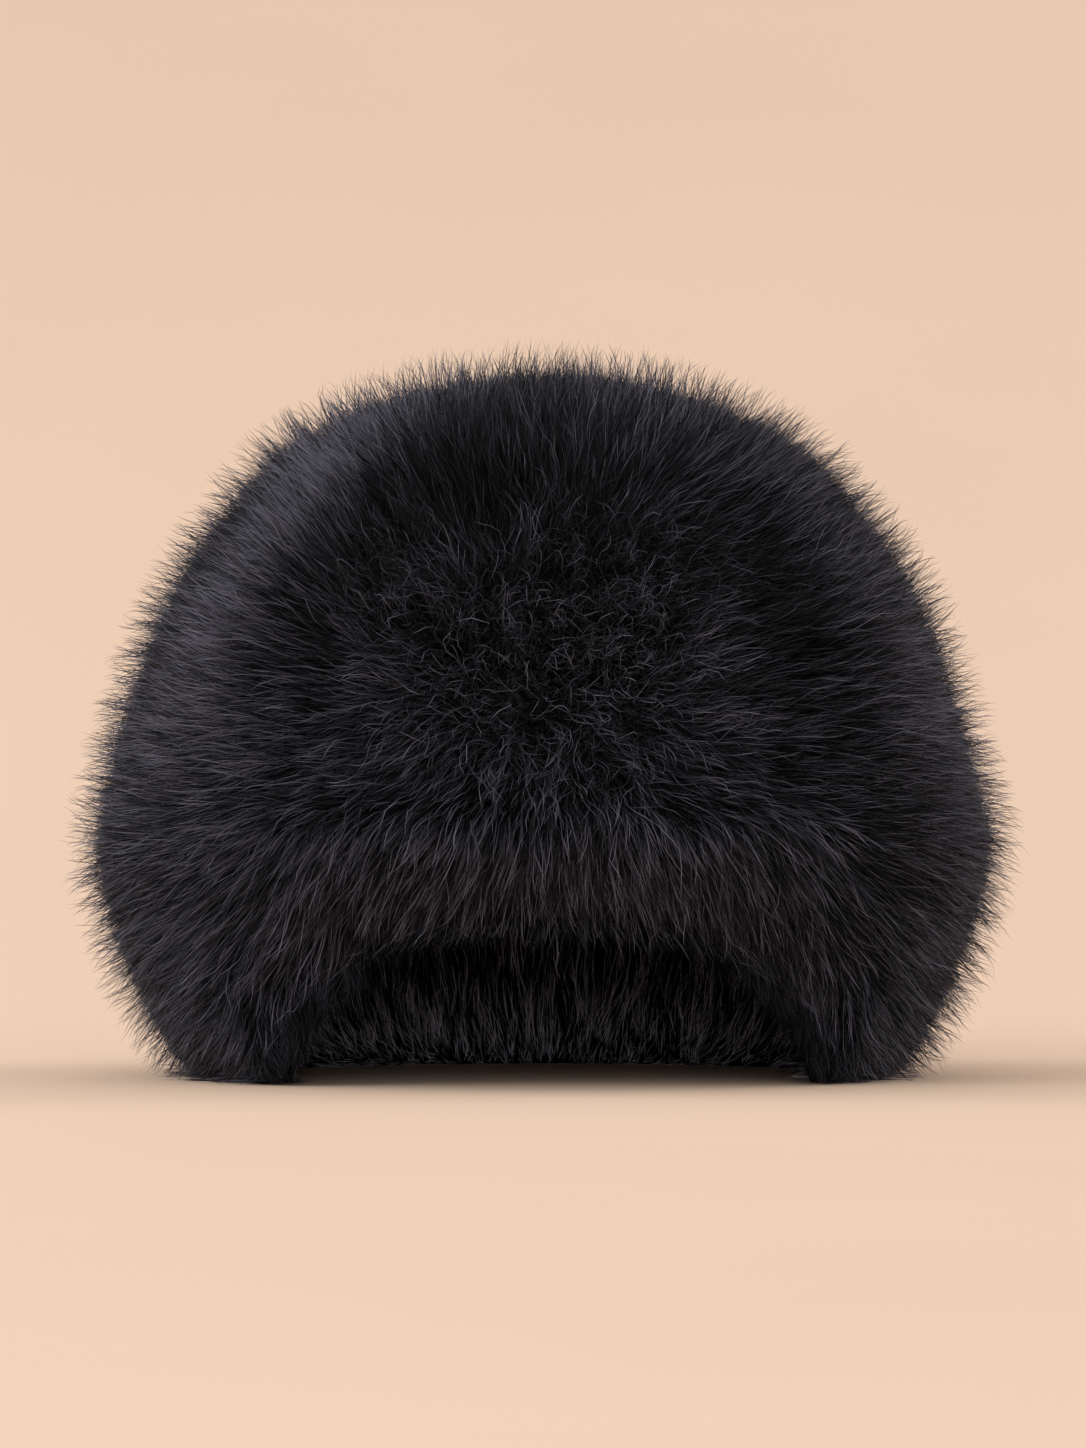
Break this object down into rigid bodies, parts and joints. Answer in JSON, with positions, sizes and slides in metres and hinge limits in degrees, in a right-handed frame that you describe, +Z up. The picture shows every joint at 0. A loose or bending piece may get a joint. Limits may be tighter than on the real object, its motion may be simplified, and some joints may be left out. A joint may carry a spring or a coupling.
{
  "type": "faux fur bucket hat",
  "caption": "Domed long-pile faux fur bucket hat, open below for a head, with a soft rim that it stands on and a front brim arched up over the face.",
  "frame": {"origin": "on the floor, under the middle of the hat's box", "axes": "+Z up through the crown, -Y towards the arched front, +X to the right of someone who looks at the front"},
  "size_m": [0.3144, 0.3026, 0.244],
  "materials": {
    "black_fur": "long-pile faux fur with a soft sheen",
    "facing_fur": "long-pile faux fur in the brim's shade"
  },
  "bodies": {
    "root": {"crown_tip": "black_fur", "crown_side": "black_fur", "brim": "black_fur", "brim_facing": "facing_fur"}
  },
  "joints": []
}
